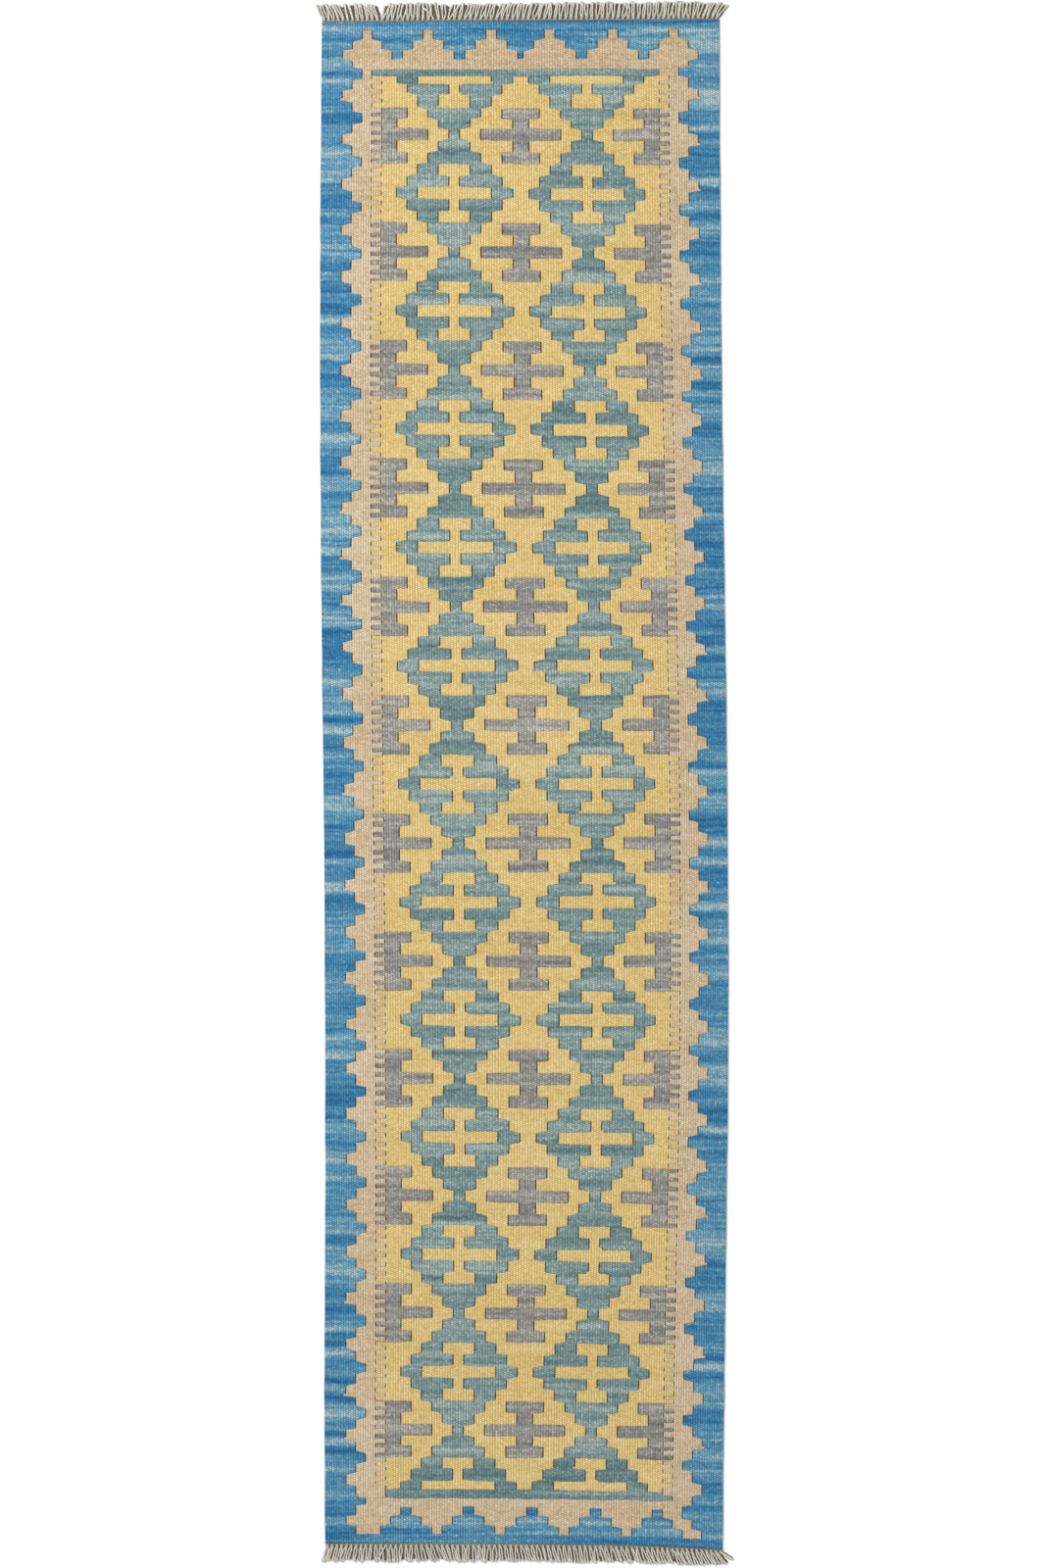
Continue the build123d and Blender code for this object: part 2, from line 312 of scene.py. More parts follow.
# Tan frame: side borders with their teeth, then the end bands with their towers
tan_top, tan_bottom = far_lines[5][0], near_lines[0][1]
tan_teeth = [(a, b) for a, b, is_tan in teeth() if is_tan]
tan_sides = {
    "left": (left_edge, np.full(line_count, comb_left), -left_edge),
    "right": (np.full(line_count, comb_right), right_edge, right_edge),
}
for side, (left, right, width) in tan_sides.items():
    cuts = narrow_cuts(width, tan_top, tan_bottom)
    tooth_rows = [*tan_teeth, near_lines[0]]
    if side == "right":
        tooth_rows.append(far_lines[5])
    for number, (top, bottom) in enumerate(zip(cuts[:-1], cuts[1:])):
        rows = [(k, k + 1, left[k], right[k]) for k in range(top, bottom)]
        for a, b in tooth_rows:
            if a < bottom and b > top:
                rows.append((max(a, top), min(b, bottom), *comb_ribs[side]))
        paint(f"tan_border_{side}_{number + 1}", rows)
paint("tan_band_far", [(k, k + 1, left_edge[k], right_edge[k]) for k in range(*far_lines[4])])
paint("tan_band_near", [(k, k + 1, left_edge[k], right_edge[k]) for k in range(*near_lines[1])])
for centre in far_tower_ribs:
    paint("tan_band_far", around(far_lines[1:4], centre, tower_half_widths))
for centre in near_tower_ribs:
    paint("tan_band_near", around(near_lines[2:5], centre, tower_half_widths[::-1]))
for corner in (near_left_corner, near_right_corner):
    paint("tan_band_near", [(*lines, *ribs) for lines, ribs in zip(near_lines[2:5], corner)])

# Teal bars. The near one ends in a wedge at the right
bar_left, bar_right = comb_ribs["left"][1], comb_ribs["right"][0]
paint("teal_bar_far", [(*far_lines[5], comb_left, bar_right)])
bar_top, bar_bottom = near_lines[0]
bar_middle = (bar_top + bar_bottom) // 2
paint("teal_bar_near", [(bar_top, bar_middle, bar_left, bar_right)])
paint("teal_bar_near", [(bar_middle, bar_bottom, bar_left, comb_right)])


# ---------------------------------------------------------------- slits and unevenness

def slit_runs():
    """Rib boundary, first line, last line and pull of every slit."""
    for rib in range(1, rib_count):
        split = np.concatenate([[False], owner[rib - 1] != owner[rib], [False]])
        turns = np.flatnonzero(split[1:] != split[:-1])
        for top, bottom in zip(turns[::2], turns[1::2]):
            sides = names[owner[rib - 1, top]] + names[owner[rib, top]]
            yield rib, top, bottom, cross_pull if "cross" in sides else step_pull


def spread_out(grid, rib_reach, line_reach):
    """Blurs a grid over neighbouring ribs and lines, leaving a lone value at its full height."""
    for axis, reach in ((0, rib_reach), (1, line_reach)):
        steps = np.arange(-4 * reach, 4 * reach + 1)
        kernel = np.exp(-0.5 * (steps / reach) ** 2)
        grid = np.apply_along_axis(lambda row: np.convolve(row, kernel, "same"), axis, grid)
    return grid


uneven = np.random.default_rng(7)
opening = np.zeros((rib_count + 1, line_count + 1))
pull = np.zeros_like(opening)
for rib, top, bottom, slit_pull in slit_runs():
    share = min(1.0, (bottom - top) / long_slit)
    along = (np.arange(top, bottom + 1) - top) / (bottom - top)
    width = uneven.uniform(*slit_opening) * share
    opening[rib, top:bottom + 1] = width * np.sqrt(np.sin(math.pi * along).clip(0, 1))
    if top > 0:
        held = tip_pull_share if top == far_lines[1][0] else 1.0
        pull[rib, top] -= uneven.uniform(*slit_pull) * share * held
    if bottom < line_count:
        held = tip_pull_share if bottom == near_lines[4][1] else 1.0
        pull[rib, bottom] += uneven.uniform(*slit_pull) * share * held
pull = spread_out(pull, *slit_draw_reach)

bead_lift = bead_unevenness * uneven.uniform(-1, 1, (rib_count, line_count + 1))
bead_shift = bead_slip * uneven.uniform(-1, 1, (rib_count, line_count + 1))
edge_shift = edge_slip * uneven.uniform(-1, 1, (rib_count + 1, line_count + 1))
bead_tone = uneven.uniform(0, 1, (rib_count, line_count // 2 + 2))


# ---------------------------------------------------------------- from weave to space

def rib_x(rib):
    """Place across the rug of a rib boundary. Ribs crowd together near the edges."""
    t = rib / (rib_count / 2) - 1
    return half_width * ((1 + edge_crowding) * t - edge_crowding * t**3)


# Sideways wander of the rug: lean of the far end, bow, shift, swell in the middle, sway, how
# much more the edges bow than the middle, and skew of the ribs between the middle and the edges
wander_lean = 7.0 * MM
wander_bow = 9.6 * MM
bow_power = 1.35
wander_shift = 2.0 * MM
wander_swell = 2.3 * MM
wander_sway = 1.0 * MM
wander_flare = 5.0 * MM
wander_skew = 8.0 * MM
end_width_share = 0.9945
middle_width_gain = 0.0145

# Drift of the rows along the rug: in the middle, in a sway, and the tilt of both across the rug
row_drift = 3.2 * MM
row_sway = 1.6 * MM
row_tilt = 2.5 * MM
row_tilt_sway = 3.3 * MM

# Slope of the two ends, the drop of the near right corner, and how fast both fade inwards
end_slope = 2.5 * MM
corner_drop = 13.0 * MM
slope_fade = 12.0

# Small waves: of the long edges, of the rows, and of a few ribs. They calm down near the ends
wave_cells = 60
edge_wave_height = 0.9 * MM
row_wave_height = 0.9 * MM
rib_wave_height = 0.6 * MM
row_wave_ribs = 9
rib_wave_ribs = 4
calmest = 0.2


def in_space(rib, line):
    """x and y of a point of the weave. The rug wanders and bulges a little, and its ends slope."""
    rib, line = np.broadcast_arrays(np.asarray(rib, float), np.asarray(line, float))
    v = line / line_count
    t = rib / (rib_count / 2) - 1
    middle = np.sin(math.pi * v)
    sway = np.sin(2 * math.pi * v)
    wander = wander_bow * np.sin(math.pi * v**bow_power) ** 2 - wander_lean * (1 - v)
    wander = wander + wander_shift + wander_swell * middle - wander_sway * sway
    wander = wander - wander_flare * t**2 * middle
    wander = wander - wander_skew * t * (1 - t**2) * np.cos(2 * math.pi * v)
    width_share = end_width_share + middle_width_gain * middle
    edge_wave = edge_wave_height * lattice_noise(11, v * wave_cells, 0.5 + 0 * v) * t**3
    x = rib_x(rib) * width_share + wander + edge_wave

    drift = row_sway * sway - row_drift * middle
    drift = drift - t * (row_tilt * middle + row_tilt_sway * np.sin(3 * math.pi * v))
    far_slope = end_slope * t * np.exp(-v * slope_fade)
    near_slope = (end_slope - corner_drop * ((t + 1) / 2) ** 4) * np.exp(-(1 - v) * slope_fade)
    wave = row_wave_height * lattice_noise(12, rib / row_wave_ribs, v * wave_cells)
    wave = wave + rib_wave_height * lattice_noise(13, rib / rib_wave_ribs, v * 2 * wave_cells)
    calm = np.clip(np.minimum(v, 1 - v) * wave_cells, calmest, 1)
    low = np.clip(np.floor(rib).astype(int), 0, rib_count - 1)
    row = np.clip(np.rint(line).astype(int), 0, line_count)
    drawn = pull[low, row] * (low + 1 - rib) + pull[low + 1, row] * (rib - low)
    y = far_end - line * line_length + drift + far_slope + near_slope + wave * calm + drawn
    return x, y


# ---------------------------------------------------------------- woven meshes

# Dye of each yarn: seed, lines in a band, ribs along a streak, weights of band, pass, lot and bead,
# and the share of beads that are light flecks
dyes = {
    "blue": (21, 9.0, 70, 0.72, 0.55, 0.15, 0.3, 0.02),
    "tan": (22, 10.0, 70, 0.15, 0.25, 0.25, 0.5, 0.02),
    "teal": (23, 7.0, 50, 0.6, 0.55, 0.15, 0.45, 0.02),
    "yellow": (24, 11.0, 80, 0.1, 0.18, 0.15, 0.42, 0.02),
    "grey": (25, 4.0, 60, 0.45, 0.6, 0.1, 0.5, 0.03),
}

# Ribs and lines in a cell of noise, for a single pass, a dye lot and a run of flecks
pass_cell = (22, 2)
lot_cell = (90, 48)
fleck_cell = (14, 2)
fleck_crowding = (0.3, 6.0)
fleck_lightness = 0.35

# How much darker the tan yarn is at the far end, and how fast that fades
far_tan_shade = 0.5
far_tan_fade = 25


def yarn_tone(kind, rib, line, bead):
    """Tone of the yarn, from -1 to 1: dye lots run in bands, and passes and beads differ."""
    seed, band, width, bands, passes, lots, beads, flecks = dyes[kind]
    tone = bands * lattice_noise(seed, rib / width + 7, line / band)
    tone = tone + passes * lattice_noise(seed + 10, rib / pass_cell[0], line / pass_cell[1])
    tone = tone + lots * lattice_noise(seed + 20, rib / lot_cell[0], line / lot_cell[1])
    if kind == "tan":
        tone = tone - far_tan_shade * np.exp(-far_tan_fade * line / line_count)
    crowd = lattice_noise(seed + 30, rib / fleck_cell[0], line / fleck_cell[1]).clip(0, 1) ** 2
    few, many = fleck_crowding
    fleck = (bead > 1 - flecks * (few + many * crowd)) * fleck_lightness
    return np.clip(tone + beads * (2 * bead - 1) + fleck, -1, 1)


# Places of a rib's shoulders across it, and how deep each part lies, which sets its painted shade: 1 on
# top, 0 in a slit, whose colour is the darkest painted shade; bead valleys, shoulders, grooves and the
# underside get painted shade in between
shoulder = 0.22
painted_light_of_turn = 0.5
painted_light_of_shoulder = 0.45
shoulder_gain = 0.35
painted_light_of_groove = 0.35
painted_light_below = 0.9
under_gap_share = 0.1


def woven_piece(name):
    """Mesh of one block of weft: ribs above and below, walls at its slits, caps at its ends."""
    mask = owner == names.index(name)
    ribs = np.flatnonzero(mask.any(1))
    lines = np.flatnonzero(mask.any(0))
    rib0, line0 = ribs[0], lines[0]
    cells = mask[rib0:ribs[-1] + 1, line0:lines[-1] + 1]
    n_ribs, n_lines = cells.shape
    pad = np.zeros((n_ribs + 2, n_lines + 2), bool)
    pad[1:-1, 1:-1] = cells

    above = pad[1:-1, :-1]
    below = pad[1:-1, 1:]
    used = above | below
    inside = above & below

    # joined[r] says that a line's vertex is shared between rib r - 1 and rib r
    joined = (pad[:-2, :-1] & above) | (pad[:-2, 1:] & below)

    total = 0

    def number(where):
        nonlocal total
        ids = np.full(where.shape, -1)
        count = int(where.sum())
        ids[where] = np.arange(total, total + count)
        total += count
        return ids

    columns = {}
    for level in ("top", "bottom"):
        right = number(used)
        left = number(used & ~joined)
        left[1:] = np.where(joined[1:] & used[1:], right[:-1], left[1:])
        columns[level] = (left, right)
    inner = [number(used) for _ in range(3)]
    under = number(used)

    rib = np.arange(n_ribs)[:, None] + rib0
    line = np.arange(n_lines + 1)[None, :] + line0
    peak = ((rib + line) % 2 == 0) * 1.0
    position = np.zeros((total, 3))
    painted_light = np.zeros(total)
    tone = np.zeros(total)
    kind = name.split("_")[0]

    # A bead of weft covers one rib for two lines, and all of it has one tone
    bead = bead_tone[rib, (line + rib % 2) // 2]
    dyed = yarn_tone(kind, rib + 0.5, line + 0.0, bead)

    def place(ids, fraction, height, painted_light_value, shift, inwards=0.0):
        x, y = in_space(rib + fraction, line)
        ok = ids >= 0
        where = ids[ok]
        position[where, 0] = (x + inwards)[ok]
        position[where, 1] = (y + shift)[ok]
        position[where, 2] = np.broadcast_to(height, used.shape)[ok]
        painted_light[where] = np.broadcast_to(painted_light_value, used.shape)[ok]
        tone[where] = dyed[ok]

    shift = bead_shift[rib, line]
    top_height = valley + (crest - valley) * peak + bead_lift[rib, line]
    side_height = top_height - shoulder_drop
    # Painted light of the top: full colour on the crests, painted shade in the bead valleys and on the
    # shoulders
    side_painted_light = painted_light_of_shoulder + shoulder_gain * peak
    place(inner[0], shoulder, side_height, side_painted_light, shift)
    place(inner[1], 0.5, top_height, painted_light_of_turn + (1 - painted_light_of_turn) * peak, shift)
    place(inner[2], 1 - shoulder, side_height, side_painted_light, shift)
    place(under, 0.5, 0.0, painted_light_below, shift)

    open_left = inside & ~joined
    open_right = inside.copy()
    open_right[:-1] &= ~joined[1:]
    # Grooves between ribs get painted shade, and the edges at slits and at the rug's open sides get the
    # darkest painted shade
    for level, (height, low, reach) in {
        "top": (groove, slit_edge, 1.0),
        "bottom": (under_groove, under_groove, under_gap_share),
    }.items():
        left, right = columns[level]
        only_left = np.where(joined, -1, left)
        for ids, side, is_open in ((only_left, 0, open_left), (right, 1, open_right)):
            drawn_back = opening[rib + side, line] + turn_wobble * (1 - peak)
            gap = reach * drawn_back * is_open * (1 - 2 * side)
            place(
                ids,
                side,
                np.where(is_open, low, height),
                np.where(is_open, 0.0, painted_light_of_groove),
                edge_shift[rib + side, line],
                gap,
            )

    faces = []

    def quads(a, b, where):
        """Faces between two columns of vertices, for the cells chosen."""
        faces.append(np.stack([a[:, :-1][where], a[:, 1:][where], b[:, 1:][where], b[:, :-1][where]], 1))

    top_left, top_right = columns["top"]
    low_left, low_right = columns["bottom"]
    chain = [top_left, *inner, top_right]
    for a, b in zip(chain[:-1], chain[1:]):
        quads(a, b, cells)
    quads(under, low_left, cells)
    quads(low_right, under, cells)
    quads(low_left, top_left, cells & ~pad[:-2, 1:-1])
    quads(top_right, low_right, cells & ~pad[2:, 1:-1])
    four = np.concatenate(faces)

    # Caps where the colour ends along the rug
    caps = []
    for first, flip in ((cells & ~pad[1:-1, :-2], False), (cells & ~pad[1:-1, 2:], True)):
        r, k = np.nonzero(first)
        k = k + 1 if flip else k
        ring = [top_left, *inner, top_right, low_right, under, low_left]
        cap = np.stack([column[r, k] for column in ring], 1)
        caps.append(cap[:, ::-1] if flip else cap)
    eight = np.concatenate(caps)

    mesh = bpy.data.meshes.new(f"weft_{name}")
    mesh.vertices.add(total)
    mesh.vertices.foreach_set("co", position.ravel())
    mesh.loops.add(four.size + eight.size)
    mesh.loops.foreach_set("vertex_index", np.concatenate([four.ravel(), eight.ravel()]))
    mesh.polygons.add(len(four) + len(eight))
    starts = np.concatenate([np.arange(len(four)) * 4, four.size + np.arange(len(eight)) * 8])
    mesh.polygons.foreach_set("loop_start", starts)
    mesh.update(calc_edges=True)
    smooth = np.concatenate([np.ones(len(four), bool), np.zeros(len(eight), bool)])
    mesh.polygons.foreach_set("use_smooth", smooth)
    # Attributes: the painted light of each point, which puts painted shade in valleys, grooves, slits
    # and underneath, and the dye tone
    for attribute, values in (("painted_light", painted_light), ("tone", tone)):
        mesh.attributes.new(attribute, "FLOAT", "POINT").data.foreach_set("value", values)
    mesh.validate()
    obj = bpy.data.objects.new(f"weft_{name}", mesh)
    bpy.context.scene.collection.objects.link(obj)

    xs, ys = position[:, 0], position[:, 1]
    flat = (xs.max() - xs.min(), ys.max() - ys.min())
    x_left, _ = in_space(rib, line[:, :-1])
    x_right, _ = in_space(rib + 1, line[:, :-1])
    area = float(((x_right - x_left) * cells).sum() * line_length)
    return obj, flat, min(area, flat[0] * flat[1])


# ---------------------------------------------------------------- materials

def new_material(name):
    """Material with an empty node tree apart from its output and shader."""
    material = bpy.data.materials.new(name)
    material.use_nodes = True
    nodes = material.node_tree.nodes
    return material, nodes, material.node_tree.links, nodes["Principled BSDF"]


def mix(nodes, links, factor, a, b, blend="MIX"):
    """Colour mix. Each input is a socket or a fixed value."""
    node = nodes.new("ShaderNodeMix")
    node.data_type = "RGBA"
    node.blend_type = blend
    for socket, value in ((node.inputs[0], factor), (node.inputs[6], a), (node.inputs[7], b)):
        if isinstance(value, bpy.types.NodeSocket):
            links.new(value, socket)
        else:
            socket.default_value = value
    return node.outputs[2]


def attribute(nodes, name):
    """Value of a mesh attribute."""
    node = nodes.new("ShaderNodeAttribute")
    node.attribute_name = name
    return node.outputs["Fac"]


def srgb(red, green, blue):
    """Linear colour from display values of 0 to 255."""
    def linear(c):
        c = c / 255
        return c / 12.92 if c <= 0.04045 else ((c + 0.055) / 1.055) ** 2.4
    return (linear(red), linear(green), linear(blue), 1.0)


def ramp(nodes, links, factor, stops):
    """Colour ramp over a factor, with stops given as (place, colour)."""
    node = nodes.new("ShaderNodeValToRGB")
    node.color_ramp.interpolation = "LINEAR"
    while len(node.color_ramp.elements) < len(stops):
        node.color_ramp.elements.new(0.5)
    for element, (place, colour) in zip(node.color_ramp.elements, stops):
        element.position = place
        element.color = colour
    links.new(factor, node.inputs[0])
    return node.outputs[0]


def to_unit(nodes, links, value, low, high):
    """The value, from low to high, as a factor from 0 to 1."""
    node = nodes.new("ShaderNodeMapRange")
    node.inputs[1].default_value = low
    node.inputs[2].default_value = high
    links.new(value, node.inputs[0])
    return node.outputs[0]


def fibres(nodes, links, across, along, detail=3.0):
    """Fine noise, stretched the way the fibres of the yarn run, at cycles per metre."""
    coordinates = nodes.new("ShaderNodeTexCoord")
    mapping = nodes.new("ShaderNodeMapping")
    mapping.inputs["Scale"].default_value = (across, along, along)
    noise = nodes.new("ShaderNodeTexNoise")
    noise.inputs["Scale"].default_value = 1.0
    noise.inputs["Detail"].default_value = detail
    links.new(coordinates.outputs["Object"], mapping.inputs[0])
    links.new(mapping.outputs[0], noise.inputs["Vector"])
    return noise.outputs["Fac"]


# Cycles per metre of the noise in the yarn, across the rug and along it
fibre_cycles = (260.0, 1300.0)
speck_cycles = (300.0, 420.0)
cotton_cycles = (500.0, 500.0)
speck_range = (0.38, 0.62)


def yarn_material(name, stops, groove_painted_shade):
    """Wool weft: dye streaks along the passes, painted shade in the grooves and bead valleys, the
    darkest painted shade in the slits, loose fibres.
    """
    material, nodes, links, shader = new_material(name)
    tone = to_unit(nodes, links, attribute(nodes, "tone"), -1.0, 1.0)
    dyed = ramp(nodes, links, tone, stops)
    fibre = fibres(nodes, links, *fibre_cycles)
    speck = fibres(nodes, links, *speck_cycles, 1.0)
    specked = mix(nodes, links, 0.35, dyed, fibre_tint(nodes, links, speck, *speck_range), "OVERLAY")
    fuzzy = mix(nodes, links, 0.4, specked, fibre_tint(nodes, links, fibre), "SOFT_LIGHT")
    # Painted shade: where a point lies deep, the groove's painted shade colour is mixed in, and near 0
    # the slit's
    painted_light = attribute(nodes, "painted_light")
    shaded = mix(nodes, links, to_unit(nodes, links, painted_light, 0.2, 0.95), groove_painted_shade, fuzzy)
    slit = mix(nodes, links, to_unit(nodes, links, painted_light, 0.02, 0.25), slit_painted_shade, shaded)
    links.new(slit, shader.inputs["Base Color"])
    shader.inputs["Roughness"].default_value = 0.88
    shader.inputs["Specular IOR Level"].default_value = 0.2
    shader.inputs["Sheen Weight"].default_value = 0.15
    shader.inputs["Sheen Roughness"].default_value = 0.5
    bump = nodes.new("ShaderNodeBump")
    bump.inputs["Strength"].default_value = 0.35
    bump.inputs["Distance"].default_value = 0.3 * MM
    links.new(fibre, bump.inputs["Height"])
    links.new(bump.outputs[0], shader.inputs["Normal"])
    return material


def fibre_tint(nodes, links, fibre, low=0.3, high=0.7):
    """Grey levels for the fibres, so that they lighten and darken the dye."""
    return ramp(nodes, links, fibre, [(low, (0.25, 0.25, 0.25, 1)), (high, (0.78, 0.78, 0.78, 1))])


# Painted shade colour of the slits and open edges, standing in for the shadow inside them
slit_painted_shade = srgb(60, 49, 26)
# Each yarn: its dye ramp, then the painted shade colour of its grooves and bead valleys
materials = {
    "blue": yarn_material(
        "blue_wool",
        [
            (0.0, srgb(32, 102, 148)),
            (0.3, srgb(62, 134, 174)),
            (0.55, srgb(98, 158, 186)),
            (0.8, srgb(142, 186, 196)),
            (1.0, srgb(200, 214, 206)),
        ],
        srgb(20, 58, 92),
    ),
    "tan": yarn_material(
        "tan_wool",
        [(0.0, srgb(174, 154, 124)), (0.5, srgb(209, 192, 163)), (1.0, srgb(230, 220, 200))],
        srgb(138, 112, 76),
    ),
    "teal": yarn_material(
        "teal_wool",
        [(0.0, srgb(86, 116, 120)), (0.5, srgb(136, 160, 160)), (1.0, srgb(192, 202, 192))],
        srgb(58, 78, 78),
    ),
    "yellow": yarn_material(
        "yellow_wool",
        [(0.0, srgb(188, 163, 97)), (0.5, srgb(223, 201, 138)), (1.0, srgb(241, 228, 183))],
        srgb(148, 116, 54),
    ),
    "grey": yarn_material(
        "grey_wool",
        [(0.0, srgb(112, 112, 110)), (0.5, srgb(156, 154, 148)), (1.0, srgb(206, 200, 186))],
        srgb(84, 82, 80),
    ),
}


# Painted shade colour of the cords, knots, twining and warps
cord_shade = srgb(78, 66, 36)


def cord_material(name, light, dark):
    """Plied cotton cord with faint mottling and fibres, mixed towards a painted shade colour where its
    painted light is low.
    """
    material, nodes, links, shader = new_material(name)
    fibre = fibres(nodes, links, *cotton_cycles)
    colour = ramp(nodes, links, fibre, [(0.25, dark), (0.75, light)])
    painted_light = to_unit(nodes, links, attribute(nodes, "painted_light"), 0.0, 1.0)
    shaded = mix(nodes, links, painted_light, cord_shade, colour)
    links.new(shaded, shader.inputs["Base Color"])
    shader.inputs["Roughness"].default_value = 0.9
    shader.inputs["Specular IOR Level"].default_value = 0.2
    shader.inputs["Sheen Weight"].default_value = 0.1
    bump = nodes.new("ShaderNodeBump")
    bump.inputs["Strength"].default_value = 0.3
    bump.inputs["Distance"].default_value = 0.2 * MM
    links.new(fibre, bump.inputs["Height"])
    links.new(bump.outputs[0], shader.inputs["Normal"])
    return material


materials["cord"] = cord_material("warp_cotton", srgb(217, 214, 205), srgb(188, 183, 171))
materials["twining"] = cord_material("twining_yarn", srgb(150, 138, 118), srgb(112, 102, 82))


# ---------------------------------------------------------------- cords, knots and twining

def tube_rings(path, reach):
    """Rings of points around each path. path is (cords, rings, 3), and the cords lie flat.

    reach gives the distance from the path, sideways and upwards, as (cords, rings, sides, 2).
    """
    tangent = np.gradient(path, axis=1)
    tangent /= np.linalg.norm(tangent, axis=2, keepdims=True)
    side = np.cross(tangent, (0.0, 0.0, 1.0))
    side /= np.linalg.norm(side, axis=2, keepdims=True)
    up = np.cross(side, tangent)
    return path[:, :, None] + reach[..., :1] * side[:, :, None] + reach[..., 1:] * up[:, :, None]


def ring_angles(sides):
    """Angles around a ring, counted from its right-hand side."""
    return np.arange(sides) / sides * 2 * math.pi


def tubes(name, points, painted_light, material):
    """Closed tubes through rings of points, as one mesh."""
    cords, rings, sides, _ = points.shape
    index = np.arange(cords * rings * sides).reshape(cords, rings, sides)
    after = np.roll(index, -1, axis=2)
    walls = np.stack([index[:, :-1], after[:, :-1], after[:, 1:], index[:, 1:]], -1).reshape(-1, 4)
    ends = np.concatenate([index[:, 0, ::-1], index[:, -1]])
    mesh = bpy.data.meshes.new(name)
    mesh.vertices.add(index.size)
    mesh.vertices.foreach_set("co", points.reshape(-1))
    mesh.loops.add(walls.size + ends.size)
    mesh.loops.foreach_set("vertex_index", np.concatenate([walls.ravel(), ends.ravel()]))
    mesh.polygons.add(len(walls) + len(ends))
    starts = np.concatenate([np.arange(len(walls)) * 4, walls.size + np.arange(len(ends)) * sides])
    mesh.polygons.foreach_set("loop_start", starts)
    mesh.update(calc_edges=True)
    mesh.polygons.foreach_set("use_smooth", np.ones(len(walls) + len(ends), bool))
    painted_light = np.broadcast_to(painted_light, points.shape[:3])
    mesh.attributes.new("painted_light", "FLOAT", "POINT").data.foreach_set("value", painted_light.reshape(-1))
    mesh.validate()
    obj = bpy.data.objects.new(name, mesh)
    bpy.context.scene.collection.objects.link(obj)
    obj.data.materials.append(material)
    return obj


twining_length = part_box("twining_far")[1][1] - far_end
knot_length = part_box("knots_far")[1][1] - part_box("knots_far")[0][1]
fringe_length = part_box("fringe_far")[1][1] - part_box("knots_far")[1][1]
cord_radius = 2.0 * MM
under_radius = 1.9 * MM
under_widening = 1.5
under_flattening = 0.55
under_shortening = 0.14
# How much painted light the lower cords keep: they are painted almost wholly in the painted shade colour
under_painted_light = 0.08
cord_turns = 3.5
ply_depth = 0.2

# Middles of the cords above the floor: where they leave the knot, the upper and the lower ones
knot_middle = 2.0 * MM
upper_middle = 2.2 * MM
under_middle = 1.1 * MM
upper_unevenness = 0.5 * MM

# Cords of one knot, sideways from its middle, at the knot and further out: both upper ones, and
# the two lower ones, of which the second lies under the gap before the next knot
upper_spread = (0.9 * MM, 2.55 * MM)
under_spread = ((0.4 * MM, 0.3 * MM), (2.4 * MM, 4.9 * MM))

# How unevenly the cords lie: lean of a knot's cords and of each cord, and their bends
lean_unevenness = 0.06
bow_unevenness = 0.7 * MM
wave_unevenness = 0.35 * MM
shortest_cord = 0.84
frayed_from = 0.7
frayed_over = 0.25
fray_widening = (0.1, 0.5)

# Lean of the fringe, as sideways travel over length, at places from the left edge (-1) to the
# right edge (1). It jumps where the fringe parts
fringe_lean = {
    "far": [
        (-1.0, -0.3),
        (-0.9, -0.45),
        (-0.8, -0.1),
        (-0.74, -0.1),
        (-0.695, -0.45),
        (-0.685, 0.4),
        (-0.6, 0.15),
        (-0.45, -0.05),
        (-0.4, -0.25),
        (-0.35, 0.25),
        (-0.1, 0.35),
        (0.2, 0.15),
        (0.35, 0.05),
        (0.5, 0.15),
        (0.545, -0.2),
        (0.555, 0.05),
        (0.8, 0.15),
        (0.93, 0.35),
        (1.0, 0.8),
    ],
    "near": [
        (-1.0, -0.3),
        (-0.85, -0.25),
        (-0.8, -0.05),
        (-0.55, 0.05),
        (-0.45, 0.4),
        (-0.35, 0.3),
        (-0.3, 0.0),
        (-0.1, 0.05),
        (0.0, 0.3),
        (0.3, 0.12),
        (0.4, 0.35),
        (0.8, 0.45),
        (0.93, 0.55),
        (0.97, 1.0),
        (1.0, 2.4),
    ],
}

# Single cords that cross over their neighbours: rib, lean, and how far they ride up
stray_cords = {
    "far": [(45, -1.2, 1.4 * MM), (51, 0.75, 1.0 * MM)],
    "near": [(134, 2.2, 1.6 * MM), (24, -0.5, 0.8 * MM)],
}


